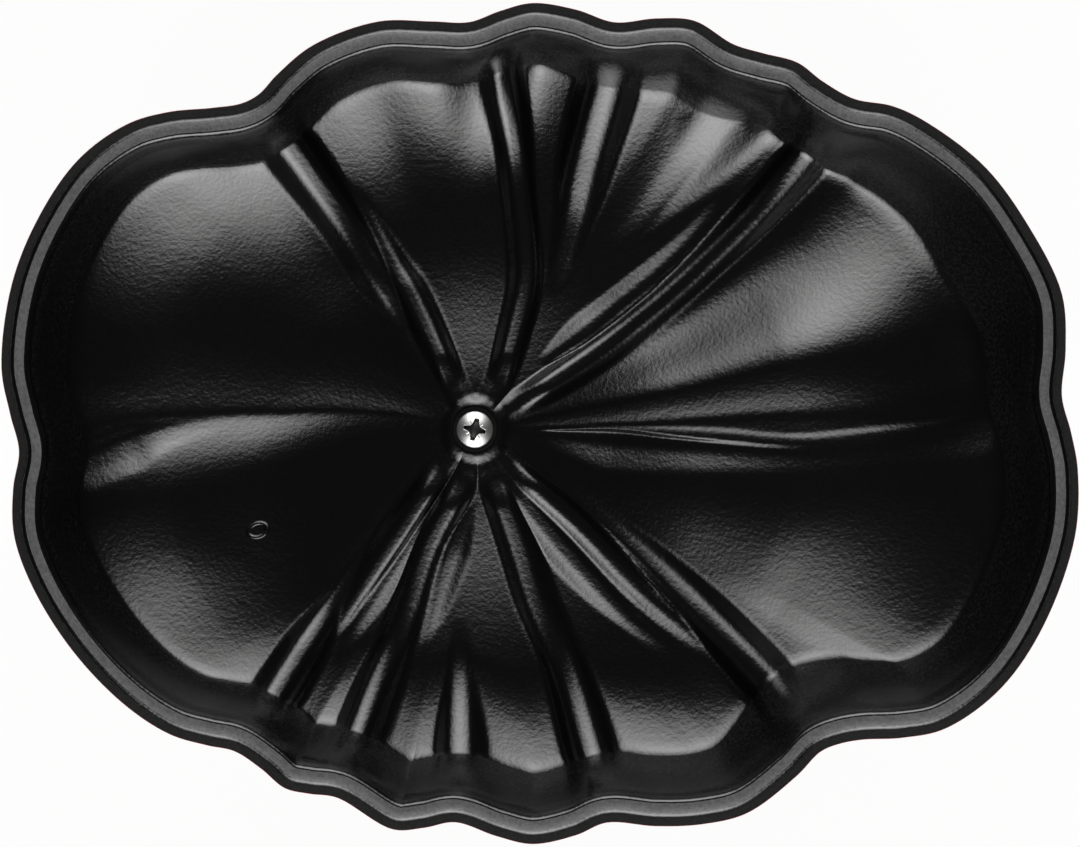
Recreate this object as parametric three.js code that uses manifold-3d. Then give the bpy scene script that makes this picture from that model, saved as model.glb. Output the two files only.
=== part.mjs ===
// A dutch oven in enamelled cast iron, with a lobed outline like a ribbed tomato.
// The lid lies upside down on the pot, as it is stowed: its underside faces up and its knob hangs inside.
// Millimetres, +Z up. The origin is under the middle of the outline, on the surface that the pot stands on.

import * as THREE from 'three';
import { mergeVertices } from 'three/addons/utils/BufferGeometryUtils.js';
import Module from 'manifold-3d';

const wasm = await Module();
wasm.setup();

// Overall sizes
const LENGTH = 250; // outline along X
const WIDTH = 195.2; // outline along Y
const POT_HEIGHT = 110;

// Pot
const POT_WALL = 5;
const POT_FLOOR = 6;
const POT_RIM = 6; // width of the rim, from the outline to the mouth
const RIM_ROUND = 1.5; // rounding of the rim's two edges
const ROUND_SHARE = 0.3; // where the middle of a rounding lies, in each direction
const RIM_BLEND = 12; // height over which the rim thins to the wall
const WALL_LEAN = 34; // how far the wall leans in, from the rim to the base
const LEAN_CURVE = 1.6; // 1 is a straight cone, more is a bowl
const BASE_ROUND = 12; // height of the round between the wall and the base
const LOBES_LOST = 0.75; // share of the lobes that has gone at the base

// Lug handles, cast with the pot at both ends
const LUG_REACH = 4; // how far a lug stands out past the outline
const LUG_WIDTH = 84;
const LUG_BAR = 7.5; // bar outside the finger slot
const LUG_SLOT_WIDTH = 50;
const LUG_THICK = 12;
const LUG_EDGE = 3.5; // rounding of the lug's edges
const LUG_DROP = 55; // from the pot's rim down to the lug's middle

// Lid, measured from the plane of its rim
const NEST_DEPTH = 13; // how far the lid's rim stands over the pot's rim
const NEST_GAP = 0.4; // between the dome and the pot's mouth
const LID_EDGE = 2.2; // rounded outer edge of the rim
const LID_EDGE_DROP = 3.4;
const LID_RING = 3.4; // contact ring inside that edge
const LID_RING_DROP = 1.2; // how far the ring slopes down to the edge
const LIP_ROUND = 0.9; // rounding between the ring and the inner wall
const LIP_SPREAD = 2.7; // where the lip has become the inner wall, from the ring
const LIP_DROP = 3.2;
const FLANGE_THICK = 5.5;
const FLOOR_EDGE_INSET = 13.4; // foot of the inner wall, from the outline
const FLOOR_EDGE_DEPTH = 17;
const FLOOR_EDGE_SOFT = 0.5; // how far that foot turns from the lobes' way in to the oval's
const FLOOR_DEPTH = 27; // deepest part of the floor
const FLOOR_LOW = 0.5; // where that is, from the boss (0) to the wall's foot (1)
const INNER_CURVE = 1.8; // how the floor falls away from the boss, 1 is straight
const OUTER_CURVE = 2.2; // how it rises to the wall
const LID_WALL = 4.7;
const DOME_EDGE_INSET = 12;

// Boss, knob seat and the ridges between the lobes
const BOSS_PLACE = [-15.3, -1.4]; // on the drawn outline, off its middle
const BOSS_TOP_DEPTH = 15.5;
const BOSS_RADIUS = 6;
const BOSS_FOOT_RADIUS = 8;
const BOSS_RISE = 1.8; // over the floor round it
const SEAT_DEPTH = 24.8; // flat under the knob
const SEAT_RADIUS = 14;
const CREST_ROUND = 1; // rounding of a ridge's crest
const CREASE_ROUND = 2.5; // rounding of the matching crease outside
const CREASE_SHARE = 0.7; // depth of that crease, of the ridge's height
const RIDGE_BLEND = 3; // how sharply neighbouring ridges part
const SPREAD_AT_BOSS = 1.6; // a ridge's flank width where it starts
const SPREAD_REACH = 60; // distance from the boss to its full width
const FADE_FROM = 0.7; // share of a short ridge's fade distance where it begins to rise

// Screw, washer and knob
const SHANK_RADIUS = 2.5;
const HOLE_GAP = 0.3; // round the shank in the boss
const THREAD_GAP = 0.15; // round the shank in the knob
const SEAT_GAP = 0.1; // between faces that are screwed together
const WASHER_RADIUS = 5.3;
const WASHER_THICK = 1;
const HEAD_RADIUS = 4.3;
const HEAD_HEIGHT = 2.5;
const HEAD_SIDE = 1; // straight side of the head, under its dome
const RECESS_LENGTH = 5;
const RECESS_WIDTH = 1;
const RECESS_DEPTH = 1.5;
const RECESS_TURN = -13; // degrees
const SCREW_GRIP = 10; // length of shank inside the knob
const SCREW_END_ROOM = 1.5; // free depth past the shank's end
const SCREW_TIP = 0.5; // chamfer at the shank's end
const KNOB_BASE_RADIUS = 11;
const KNOB_BASE_THICK = 3;
const KNOB_NECK_RADIUS = 5.3;
const KNOB_TIP_RADIUS = 6.3;
const KNOB_HEIGHT = 24;
const KNOB_BEND = 3; // how far the stalk leans at its tip
const KNOB_LOBES = 5;

// How finely the shapes are cut
const OUTLINE_STEPS = 96;
const KNOB_STEPS = 40;
const ROUND_STEPS = 32;
const PATH_STEPS = 20;
const MERGE_WITHIN = 1e-4; // points closer than this are one
const CUT_PAST = 5; // how far a cut runs past the face that it opens

// The outline as drawn: [angle in degrees, distance from the middle], over the lobes' crests and valleys.
const OUTLINE_POINTS = [
  [3, 121.3], [8, 123.2], [14, 124.8], [22, 122.3], [30, 119.2], [38, 113.7], [42, 110.1],
  [46, 104.8], [50.5, 103], [54.5, 102.9], [59, 100.3], [63, 98.8], [69, 100.1], [74, 97.8],
  [79.5, 94.7], [85, 96.4], [91, 97.6], [95.5, 96.2], [100, 94.6], [105, 96.6], [112, 100.6],
  [121, 102.4], [127, 101.4], [130.5, 100.5], [133, 101.6], [136, 105.5], [140, 112.5], [144, 118.3],
  [150, 123.3], [157, 125.7], [165, 126.8], [174, 125.7], [179, 123], [183, 121.1], [187, 123.2],
  [192, 124.8], [198, 123.7], [206, 120.6], [214, 116.5], [220, 112.2], [224, 107.5], [227, 104],
  [231, 103], [235, 103.3], [238, 101.3], [241.5, 98.8], [250, 100.2], [254, 97.6], [258, 94.6],
  [264, 96.3], [269, 97.6], [275, 95.9], [279.5, 93.9], [286, 97.2], [292, 100.3], [298, 102.4],
  [306, 101.2], [310.5, 100.2], [313, 101.7], [315.5, 104.7], [319, 111.2], [323, 117.7], [330, 123.3],
  [338, 125.9], [348, 126.9], [355, 125.3], [359, 123.3],
];

// The ridges under the lid as drawn: height over the floor, width of the flanks, crest points from the boss
// to the wall, and for a short ridge the distance from the boss where it has its full height.
const RIDGES_DRAWN = {
  backLeft: { height: 4.5, spread: 6, crest: [[-22, 9], [-34, 29], [-40.5, 43], [-59, 66]] },
  backForkLeft: {
    height: 4,
    spread: 4.5,
    crest: [[-11.5, 10], [-4.2, 34], [-2.6, 43], [-5.6, 62], [-11, 83]],
  },
  backForkRight: { height: 4, spread: 4.5, crest: [[-7.5, 10.5], [6.8, 44], [13.4, 68.5], [16.2, 83]] },
  backShort: { height: 2.5, spread: 5, fade: 75, crest: [[31, 55], [42, 77.5]] },
  backRight: { height: 4.5, spread: 6, crest: [[-5.4, 6], [16, 18], [36.5, 35], [65, 66]] },
  right: { height: 3.6, spread: 9, fade: 40, crest: [[5, 2.7], [76, 2.7], [110, 3.6]] },
  rightRib: {
    height: 4.2,
    spread: 5,
    crest: [[-4, -0.4], [27, -1.8], [54.5, -3.2], [90.6, -0.4], [110, 3]],
  },
  frontRight: { height: 4.5, spread: 6, crest: [[-6.8, -7.6], [14, -26], [34, -43], [59, -69]] },
  front: { height: 4.2, spread: 5, crest: [[-11.3, -11.4], [-3, -32], [3.8, -51], [13.2, -81]] },
  frontShort: { height: 3, spread: 4, fade: 55, crest: [[-17.4, -41.5], [-19, -81]] },
  frontInner: { height: 4, spread: 4.5, crest: [[-18, -13], [-22.4, -30], [-33, -51], [-43, -73]] },
  frontLeftFold: {
    height: 2.5,
    spread: 3.5,
    crest: [[-22, -13], [-26.6, -21.5], [-36, -36], [-47.3, -53.5]],
  },
  frontLeft: { height: 4.5, spread: 6, crest: [[-21.7, -9], [-38.8, -32], [-53, -52], [-64.5, -67]] },
  left: { height: 4.5, spread: 7, crest: [[-24.5, -0.6], [-59.3, 2.2], [-84.7, 1.8], [-109, -0.8]] },
  leftBranch: { height: 2.5, spread: 5, fade: 62, crest: [[-70.6, -0.4], [-82.4, -3.9], [-107, -13.5]] },
};

// The knob from its foot to its tip: [radius, height below the foot, depth of the ribs over the radius]
const KNOB_PROFILE = [
  [KNOB_BASE_RADIUS * 0.92, 0, 0.14],
  [KNOB_BASE_RADIUS, KNOB_BASE_THICK * 0.4, 0.16],
  [KNOB_BASE_RADIUS * 0.85, KNOB_BASE_THICK, 0.13],
  [KNOB_NECK_RADIUS * 1.2, KNOB_HEIGHT * 0.24, 0.09],
  [KNOB_NECK_RADIUS, KNOB_HEIGHT * 0.46, 0.07],
  [KNOB_NECK_RADIUS, KNOB_HEIGHT * 0.68, 0.07],
  [KNOB_TIP_RADIUS, KNOB_HEIGHT * 0.88, 0.08],
  [KNOB_TIP_RADIUS, KNOB_HEIGHT * 0.95, 0.07],
  [KNOB_TIP_RADIUS * 0.8, KNOB_HEIGHT, 0.05],
];

// The dome of the screw's head: [share of its radius, share of its height]
const HEAD_DOME = [[0.9, 0.5], [0.65, 0.85], [0, 1]];

// Enamels and metals
const redEnamel = new THREE.MeshStandardMaterial({ color: 0x9c1414, roughness: 0.2, metalness: 0 });
const blackEnamel = new THREE.MeshStandardMaterial({ color: 0x141414, roughness: 0.5, metalness: 0 });
const knobSteel = new THREE.MeshStandardMaterial({ color: 0xb4b2ad, roughness: 0.35, metalness: 1 });
const screwSteel = new THREE.MeshStandardMaterial({ color: 0xd0d0ce, roughness: 0.25, metalness: 1 });
const washerRubber = new THREE.MeshStandardMaterial({ color: 0x101010, roughness: 0.8, metalness: 0 });

// Outline, stretched from the drawing to the length and the width
const drawnOutline = new THREE.CatmullRomCurve3(
  OUTLINE_POINTS.map(([degrees, radius]) => {
    const angle = THREE.MathUtils.degToRad(degrees);
    return new THREE.Vector3(radius * Math.cos(angle), radius * Math.sin(angle), 0);
  }),
  true,
  'centripetal',
);
const drawnBox = new THREE.Box3().setFromPoints(drawnOutline.getPoints(OUTLINE_STEPS * 10));
const stretchX = LENGTH / (drawnBox.max.x - drawnBox.min.x);
const stretchY = WIDTH / (drawnBox.max.y - drawnBox.min.y);
const middle = drawnBox.getCenter(new THREE.Vector3());

function stretched(x, y) {
  return new THREE.Vector2((x - middle.x) * stretchX, (y - middle.y) * stretchY);
}

function outlinePlace(turn) {
  const drawn = drawnOutline.getPoint((turn + 1) % 1);
  return stretched(drawn.x, drawn.y);
}

// One station of the outline: its place, the way out of the lobed outline there, and the plain oval that the
// lobes fade into, with its own way out.
function outlineStation(turn) {
  const nearby = 0.002;
  const place = outlinePlace(turn);
  const along = outlinePlace(turn + nearby).sub(outlinePlace(turn - nearby)).normalize();
  const out = new THREE.Vector2(along.y, -along.x);
  const angle = Math.atan2(place.y, place.x);
  const halfLength = LENGTH / 2;
  const halfWidth = WIDTH / 2;
  const radius = 1 / Math.hypot(Math.cos(angle) / halfLength, Math.sin(angle) / halfWidth);
  const oval = new THREE.Vector2(radius * Math.cos(angle), radius * Math.sin(angle));
  const ovalOut = new THREE.Vector2(oval.x / halfLength ** 2, oval.y / halfWidth ** 2).normalize();
  return { place, out, oval, ovalOut };
}

const stations = Array.from({ length: OUTLINE_STEPS }, (_, step) => outlineStation(step / OUTLINE_STEPS));

// A ring of points at one height, a distance in from the lobed outline. Deep inside narrow lobes a softened
// way in, between that of the lobes and the oval, keeps the ring from crossing itself.
function lobedRing(inset, z, softened = 0) {
  return stations.map(({ place, out, ovalOut }) => {
    const way = out.clone().lerp(ovalOut, softened).normalize();
    const moved = place.clone().addScaledVector(way, -inset);
    return new THREE.Vector3(moved.x, moved.y, z);
  });
}

// The same, moved in along the oval's way out, so that rings of different inset never cross.
function ovalRing(inset, z, lobes = 1) {
  return stations.map(({ place, oval, ovalOut }) => {
    const base = oval.clone().lerp(place, lobes);
    return new THREE.Vector3(base.x - inset * ovalOut.x, base.y - inset * ovalOut.y, z);
  });
}

// A closed solid through rings with as many points each. Each ring runs anticlockwise seen from above, and
// their order goes down the outside. A looped solid joins its last ring to its first, others are capped.
function ringSolid(rings, looped = false) {
  const count = rings[0].length;
  const points = rings.flat();
  const faces = [];
  const pairs = looped ? rings.length : rings.length - 1;
  for (let ring = 0; ring < pairs; ring += 1) {
    const here = ring * count;
    const next = ((ring + 1) % rings.length) * count;
    for (let step = 0; step < count; step += 1) {
      const after = (step + 1) % count;
      faces.push(here + step, next + step, next + after);
      faces.push(here + step, next + after, here + after);
    }
  }
  if (!looped) {
    capRing(points, faces, rings[0], 0, true);
    capRing(points, faces, rings[rings.length - 1], (rings.length - 1) * count, false);
  }
  const geometry = new THREE.BufferGeometry().setFromPoints(points);
  geometry.setIndex(faces);
  geometry.computeVertexNormals();
  return geometry;
}

function capRing(points, faces, ring, first, facesUp) {
  const hub = points.length;
  const centre = ring.reduce((sum, point) => sum.add(point), new THREE.Vector3()).divideScalar(ring.length);
  points.push(centre);
  for (let step = 0; step < ring.length; step += 1) {
    const here = first + step;
    const after = first + ((step + 1) % ring.length);
    if (facesUp) {
      faces.push(hub, here, after);
    } else {
      faces.push(hub, after, here);
    }
  }
}

// Joining and cutting of closed solids
function toSolid(geometry) {
  const plain = geometry.clone();
  plain.deleteAttribute('normal');
  plain.deleteAttribute('uv');
  const merged = mergeVertices(plain, MERGE_WITHIN);
  return new wasm.Manifold(new wasm.Mesh({
    numProp: 3,
    vertProperties: new Float32Array(merged.attributes.position.array),
    triVerts: new Uint32Array(merged.index.array),
  }));
}

function toGeometry(solid) {
  const { vertProperties, triVerts } = solid.getMesh();
  const geometry = new THREE.BufferGeometry();
  geometry.setAttribute('position', new THREE.BufferAttribute(new Float32Array(vertProperties), 3));
  geometry.setIndex(Array.from(triVerts));
  geometry.computeVertexNormals();
  return geometry;
}

function named(name, geometry, material) {
  const mesh = new THREE.Mesh(geometry, material);
  mesh.name = name;
  return mesh;
}

// Pot: how far its outside has leaned in at a height, and what is left of the lobes there
function lean(z) {
  return WALL_LEAN * ((POT_HEIGHT - z) / POT_HEIGHT) ** LEAN_CURVE;
}

function lobesLeft(z) {
  return 1 - LOBES_LOST * ((POT_HEIGHT - z) / POT_HEIGHT);
}

// Points [inset, height] of one face of the wall, from just under the rim's rounding to the flat bottom.
function wallProfile(thickness, bottom) {
  const wallSteps = 6;
  const roundSteps = 4;
  const top = POT_HEIGHT - RIM_ROUND;
  const roundTop = bottom + BASE_ROUND;
  const profile = [];
  for (let step = 0; step < wallSteps; step += 1) {
    const z = THREE.MathUtils.lerp(top, roundTop, step / wallSteps);
    profile.push([lean(z) + thickness(z), z]);
  }
  const start = new THREE.Vector2(lean(roundTop) + thickness(roundTop), roundTop);
  const slope = lean(roundTop - 0.5) - lean(roundTop + 0.5);
  const corner = new THREE.Vector2(start.x + slope * BASE_ROUND, bottom);
  const end = new THREE.Vector2(corner.x + BASE_ROUND, bottom);
  const round = new THREE.QuadraticBezierCurve(start, corner, end);
  for (const point of round.getPoints(roundSteps)) {
    profile.push([point.x, point.y]);
  }
  return profile;
}

function potOutside() {
  const halfRound = RIM_ROUND * ROUND_SHARE;
  const rings = [ovalRing(RIM_ROUND, POT_HEIGHT), ovalRing(halfRound, POT_HEIGHT - halfRound)];
  for (const [inset, z] of wallProfile(() => 0, 0)) {
    rings.push(ovalRing(inset, z, lobesLeft(z)));
  }
  return toSolid(ringSolid(rings));
}

function potInside() {
  const extra = POT_RIM - POT_WALL;
  const halfRound = RIM_ROUND * ROUND_SHARE;
  const thickness = (z) => POT_WALL + extra * Math.max(0, 1 - (POT_HEIGHT - z) / RIM_BLEND);
  const rings = [
    ovalRing(POT_RIM - RIM_ROUND, POT_HEIGHT + CUT_PAST),
    ovalRing(POT_RIM - RIM_ROUND, POT_HEIGHT),
    ovalRing(POT_RIM - halfRound, POT_HEIGHT - halfRound),
  ];
  for (const [inset, z] of wallProfile(thickness, POT_FLOOR)) {
    rings.push(ovalRing(inset, z, lobesLeft(z)));
  }
  return toSolid(ringSolid(rings));
}

// One lug lies flat, with a finger slot between its bar and the pot's wall.
function lug(side) {
  const tip = LENGTH / 2 + LUG_REACH - LUG_EDGE;
  const root = LENGTH / 4;
  const half = LUG_WIDTH / 2 - LUG_EDGE;
  const slotHalf = LUG_SLOT_WIDTH / 2 + LUG_EDGE;
  const slotTip = tip - LUG_BAR + 2 * LUG_EDGE;
  const shoulder = tip - 2 * LUG_BAR;
  const shape = new THREE.Shape();
  shape.moveTo(root, -half);
  shape.lineTo(shoulder, -half);
  shape.bezierCurveTo(tip, -half, tip, -half / 2, tip, 0);
  shape.bezierCurveTo(tip, half / 2, tip, half, shoulder, half);
  shape.lineTo(root, half);
  shape.closePath();
  const slotRoot = root + LUG_BAR;
  const slot = new THREE.Path();
  slot.moveTo(slotRoot, -slotHalf);
  slot.lineTo(slotRoot, slotHalf);
  slot.lineTo(slotTip - LUG_BAR, slotHalf);
  slot.bezierCurveTo(slotTip, slotHalf, slotTip, slotHalf / 2, slotTip, 0);
  slot.bezierCurveTo(slotTip, -slotHalf / 2, slotTip, -slotHalf, slotTip - LUG_BAR, -slotHalf);
  slot.closePath();
  shape.holes.push(slot);
  const geometry = new THREE.ExtrudeGeometry(shape, {
    depth: LUG_THICK - 2 * LUG_EDGE,
    curveSegments: 8,
    bevelEnabled: true,
    bevelThickness: LUG_EDGE,
    bevelSize: LUG_EDGE,
    bevelSegments: 3,
  });
  geometry.translate(0, 0, LUG_EDGE - LUG_THICK / 2);
  geometry.rotateZ(side > 0 ? 0 : Math.PI);
  geometry.translate(0, 0, POT_HEIGHT - LUG_DROP);
  return toSolid(geometry);
}

function pot() {
  const casting = potOutside().add(lug(1)).add(lug(-1)).subtract(potInside());
  return named('pot', toGeometry(casting), redEnamel);
}

// Ridges under the lid, on the stretched outline
const boss = stretched(...BOSS_PLACE);

const ridges = Object.values(RIDGES_DRAWN).map(({ crest, height, spread, fade = 0 }) => {
  const path = new THREE.SplineCurve(crest.map(([x, y]) => stretched(x, y)));
  return { line: path.getPoints(PATH_STEPS), height, spread, fade };
});

function distanceToLine(place, line) {
  let least = Infinity;
  for (let step = 1; step < line.length; step += 1) {
    const along = line[step].clone().sub(line[step - 1]);
    const from = place.clone().sub(line[step - 1]);
    const share = THREE.MathUtils.clamp(from.dot(along) / along.lengthSq(), 0, 1);
    least = Math.min(least, from.addScaledVector(along, -share).length());
  }
  return least;
}

// Height of the ridges over the lid's floor: each falls away from its crest, and the highest one wins.
function ridgeRise(place, round) {
  const fromBoss = place.distanceTo(boss);
  const widening = THREE.MathUtils.smoothstep(fromBoss, BOSS_FOOT_RADIUS, SPREAD_REACH);
  let blended = 0;
  for (const { line, height, spread, fade } of ridges) {
    const away = Math.hypot(distanceToLine(place, line), round) - round;
    const width = THREE.MathUtils.lerp(SPREAD_AT_BOSS, spread, widening);
    const fadeIn = fade > 0 ? THREE.MathUtils.smoothstep(fromBoss, fade * FADE_FROM, fade) : 1;
    blended += (height * fadeIn * Math.exp(-away / width)) ** RIDGE_BLEND;
  }
  return blended ** (1 / RIDGE_BLEND);
}

// Depth of a trough that runs round the boss, from its inner edge (share 0) to its outer edge (share 1).
function troughDepth(share, innerDepth, deepest, outerDepth) {
  if (share < FLOOR_LOW) {
    return deepest - (deepest - innerDepth) * ((FLOOR_LOW - share) / FLOOR_LOW) ** INNER_CURVE;
  }
  return deepest - (deepest - outerDepth) * ((share - FLOOR_LOW) / (1 - FLOOR_LOW)) ** OUTER_CURVE;
}

// A ring of points between a circle round the boss (share 0) and an outer ring (share 1).
function bossRing(outerRing, startRadius, share, heightAt) {
  return outerRing.map((point) => {
    const outward = new THREE.Vector2(point.x, point.y).sub(boss);
    const radius = THREE.MathUtils.lerp(startRadius, outward.length(), share);
    const place = boss.clone().add(outward.setLength(radius));
    return new THREE.Vector3(place.x, place.y, heightAt(place));
  });
}

// Floor of the lid, out from the boss to the foot of the inner wall
function lidFloorRings(floorEdge) {
  const shares = [0, 0.06, 0.12, 0.19, 0.27, 0.36, 0.46, 0.56, 0.66, 0.76, 0.86, 0.94, 1];
  const bossFootDepth = BOSS_TOP_DEPTH + BOSS_RISE;
  return shares.map((share) => bossRing(floorEdge, BOSS_FOOT_RADIUS, share, (place) => {
    const grow = THREE.MathUtils.smoothstep(share, 0, 0.08);
    const depth = troughDepth(share, bossFootDepth, FLOOR_DEPTH, FLOOR_EDGE_DEPTH);
    return grow * ridgeRise(place, CREST_ROUND) - depth;
  }));
}

// Dome of the lid, in towards the flat seat of the knob
function lidDomeRings(domeEdge, domeEdgeDepth) {
  const shares = [0.9, 0.78, 0.64, 0.5, 0.36, 0.22, 0.1];
  const deepest = FLOOR_DEPTH + LID_WALL;
  return shares.map((share) => bossRing(domeEdge, SEAT_RADIUS, share, (place) => {
    const grow = THREE.MathUtils.smoothstep(share, 0, 0.3);
    const crease = CREASE_SHARE * grow * ridgeRise(place, CREASE_ROUND);
    return crease - troughDepth(share, SEAT_DEPTH, deepest, domeEdgeDepth);
  }));
}

function lid() {
  const holeRadius = SHANK_RADIUS + HOLE_GAP;
  const ringInner = LID_EDGE + LID_RING;
  const halfRound = LIP_ROUND * ROUND_SHARE;
  const edgeMiddle = THREE.MathUtils.lerp(LID_EDGE_DROP, LID_RING_DROP, 0.5);
  const domeEdgeDepth = FLOOR_EDGE_DEPTH + LID_WALL;
  const floorEdge = lobedRing(FLOOR_EDGE_INSET, -FLOOR_EDGE_DEPTH, FLOOR_EDGE_SOFT);
  const domeEdge = ovalRing(DOME_EDGE_INSET, -domeEdgeDepth);
  const circle = (radius, depth) => bossRing(floorEdge, radius, 0, () => -depth);
  const rings = [
    circle(holeRadius, BOSS_TOP_DEPTH),
    circle(BOSS_RADIUS, BOSS_TOP_DEPTH),
    ...lidFloorRings(floorEdge),
    lobedRing(ringInner + LIP_SPREAD, -LIP_DROP),
    lobedRing(ringInner + LIP_ROUND, -LIP_ROUND),
    lobedRing(ringInner + halfRound, -halfRound / 2),
    lobedRing(ringInner, 0),
    lobedRing(LID_EDGE, -LID_RING_DROP),
    lobedRing(ROUND_SHARE * LID_EDGE, -edgeMiddle),
    lobedRing(0, -LID_EDGE_DROP),
    ovalRing(halfRound, -FLANGE_THICK + LIP_ROUND),
    ovalRing(LIP_ROUND, -FLANGE_THICK),
    ovalRing(POT_RIM, -NEST_DEPTH),
    ovalRing(POT_RIM + NEST_GAP, -NEST_DEPTH - RIM_ROUND),
    domeEdge,
    ...lidDomeRings(domeEdge, domeEdgeDepth),
    circle(SEAT_RADIUS, SEAT_DEPTH),
    circle(holeRadius, SEAT_DEPTH),
  ];
  return named('lid', ringSolid(rings, true), blackEnamel);
}

// Knob: a bent stalk with five ribs on a lobed foot, tapped from above for the screw
function knobRing(radius, z, ribs) {
  const ring = [];
  for (let step = 0; step < KNOB_STEPS; step += 1) {
    const angle = (step / KNOB_STEPS) * 2 * Math.PI;
    const ribbed = radius * (1 + ribs * Math.cos(KNOB_LOBES * angle));
    const bend = KNOB_BEND * (z / KNOB_HEIGHT) ** 2;
    ring.push(new THREE.Vector3(ribbed * Math.cos(angle) + bend, ribbed * Math.sin(angle), z));
  }
  return ring;
}

function lidKnob() {
  const tapRadius = SHANK_RADIUS + THREAD_GAP;
  const tapDepth = SCREW_GRIP + SCREW_END_ROOM;
  const straight = (radius, z) => knobRing(radius, z, 0).map((point) => {
    point.x -= KNOB_BEND * (z / KNOB_HEIGHT) ** 2;
    return point;
  });
  const rings = [
    straight(tapRadius, -tapDepth),
    straight(tapRadius, 0),
    ...KNOB_PROFILE.map(([radius, drop, ribs]) => knobRing(radius, -drop, ribs)),
  ];
  const mesh = named('lid_knob', ringSolid(rings), knobSteel);
  mesh.position.set(boss.x, boss.y, -SEAT_DEPTH - SEAT_GAP);
  return mesh;
}

// Lathe profiles are [radius, height] pairs, turned from Y up to Z up.
function turned(profile) {
  const points = profile.map(([radius, z]) => new THREE.Vector2(radius, z));
  return new THREE.LatheGeometry(points, ROUND_STEPS).rotateX(Math.PI / 2);
}

function screwWasher() {
  const bore = SHANK_RADIUS + HOLE_GAP;
  const profile = [
    [bore, 0],
    [WASHER_RADIUS, 0],
    [WASHER_RADIUS, WASHER_THICK],
    [bore, WASHER_THICK],
    [bore, 0],
  ];
  const mesh = named('screw_washer', turned(profile), washerRubber);
  mesh.position.set(boss.x, boss.y, -BOSS_TOP_DEPTH + SEAT_GAP);
  return mesh;
}

function knobScrew() {
  const throughLid = SEAT_DEPTH - BOSS_TOP_DEPTH + WASHER_THICK + 3 * SEAT_GAP;
  const shank = throughLid + SCREW_GRIP;
  const dome = HEAD_HEIGHT - HEAD_SIDE;
  const body = toSolid(turned([
    [0, -shank],
    [SHANK_RADIUS - SCREW_TIP, -shank],
    [SHANK_RADIUS, -shank + SCREW_TIP],
    [SHANK_RADIUS, 0],
    [HEAD_RADIUS, 0],
    [HEAD_RADIUS, HEAD_SIDE],
    ...HEAD_DOME.map(([across, up]) => [HEAD_RADIUS * across, HEAD_SIDE + dome * up]),
  ]));
  const arm = new THREE.BoxGeometry(RECESS_LENGTH, RECESS_WIDTH, 2 * RECESS_DEPTH);
  arm.translate(0, 0, HEAD_HEIGHT);
  const turn = THREE.MathUtils.degToRad(RECESS_TURN);
  const cross = toSolid(arm.clone().rotateZ(turn)).add(toSolid(arm.clone().rotateZ(turn + Math.PI / 2)));
  const mesh = named('knob_screw', toGeometry(body.subtract(cross)), screwSteel);
  mesh.position.set(boss.x, boss.y, -BOSS_TOP_DEPTH + WASHER_THICK + 2 * SEAT_GAP);
  return mesh;
}

// The lid and what is screwed to it lift off together.
const lidGroup = new THREE.Group();
lidGroup.add(lid(), lidKnob(), screwWasher(), knobScrew());
lidGroup.position.z = POT_HEIGHT + NEST_DEPTH;

const dutchOven = new THREE.Group();
dutchOven.add(pot(), lidGroup);

export default dutchOven;
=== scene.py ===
# Looks of a dutch oven in enamelled cast iron: a lobed pot, and its lid lying upside down on it.
# The camera looks straight down on the underside of the lid, so the lid hides the pot and the knob.
# Metres, +Z up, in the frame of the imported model.

import math

import bpy
import numpy as np
from mathutils import Matrix, Vector


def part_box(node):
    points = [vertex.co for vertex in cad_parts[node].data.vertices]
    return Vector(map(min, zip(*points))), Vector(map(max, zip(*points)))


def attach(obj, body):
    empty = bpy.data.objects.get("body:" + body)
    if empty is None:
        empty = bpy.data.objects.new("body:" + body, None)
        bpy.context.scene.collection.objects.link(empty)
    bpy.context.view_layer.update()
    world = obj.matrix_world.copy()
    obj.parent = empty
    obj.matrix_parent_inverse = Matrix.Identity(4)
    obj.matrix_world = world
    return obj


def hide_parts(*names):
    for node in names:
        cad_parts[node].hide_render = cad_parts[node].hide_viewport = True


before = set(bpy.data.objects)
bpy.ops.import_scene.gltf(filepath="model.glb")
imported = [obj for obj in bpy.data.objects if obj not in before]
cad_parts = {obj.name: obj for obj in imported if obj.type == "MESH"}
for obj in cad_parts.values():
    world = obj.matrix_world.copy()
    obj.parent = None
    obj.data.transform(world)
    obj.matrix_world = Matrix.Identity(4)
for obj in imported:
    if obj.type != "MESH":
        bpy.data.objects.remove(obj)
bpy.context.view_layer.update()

MM = 0.001

# Places that the frame gives
pot_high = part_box("pot")[1]
lid_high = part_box("lid")[1]
knob_low, knob_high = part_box("lid_knob")
screw_low, screw_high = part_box("knob_screw")
washer_low, washer_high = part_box("screw_washer")
RIM_PLANE = lid_high.z
POT_HEIGHT = pot_high.z
BOSS = np.array([(washer_low.x + washer_high.x) / 2, (washer_low.y + washer_high.y) / 2])
BOSS_DEPTH = RIM_PLANE - washer_low.z
SEAT_DEPTH = RIM_PLANE - knob_high.z

# Outline that the lid and the pot share
LENGTH = 250 * MM
WIDTH = 195.2 * MM
CURVE_STEPS = 4000  # that the drawn outline is measured with
NEARBY = 0.006  # share of a turn to either side that the outline's way out is taken over

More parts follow.
